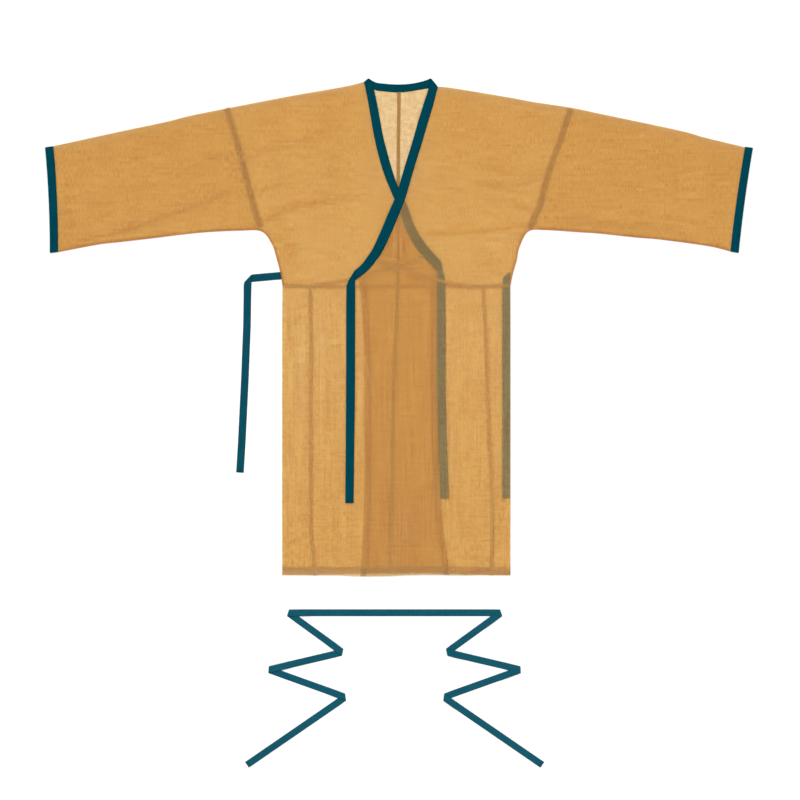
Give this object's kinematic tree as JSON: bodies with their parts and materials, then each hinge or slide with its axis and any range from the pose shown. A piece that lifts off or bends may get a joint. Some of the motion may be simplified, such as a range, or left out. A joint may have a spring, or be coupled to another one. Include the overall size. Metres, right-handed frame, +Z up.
{
  "type": "hanfu robe",
  "caption": "Sheer cross-collar robe laid flat, with long sleeves, bound collar and cuffs, tape ties and a separate folded sash belt.",
  "frame": {"origin": "on the surface the robe lies on, under the middle of the box round the robe and its belt", "axes": "+X towards the wearer's left sleeve, +Y from the hem towards the collar, +Z up off the surface"},
  "size_m": [1.486, 1.4476, 0.0054],
  "materials": {
    "gauze": "sheer plain weave, matt with a faint sheen",
    "binding": "close plain weave, matt"
  },
  "bodies": {
    "root": {"sleeve_right": "gauze", "sleeve_left": "gauze", "cuff_binding_right": "binding", "cuff_binding_left": "binding", "bodice_right": "gauze", "bodice_left": "gauze", "skirt_back_right": "gauze", "skirt_back_left": "gauze", "skirt_front_right": "gauze", "skirt_front_left": "gauze", "collar_binding": "binding", "tie_outer": "binding", "tie_inner": "binding", "tie_side_left": "binding", "tie_side_right": "binding", "belt": "binding"}
  },
  "joints": []
}
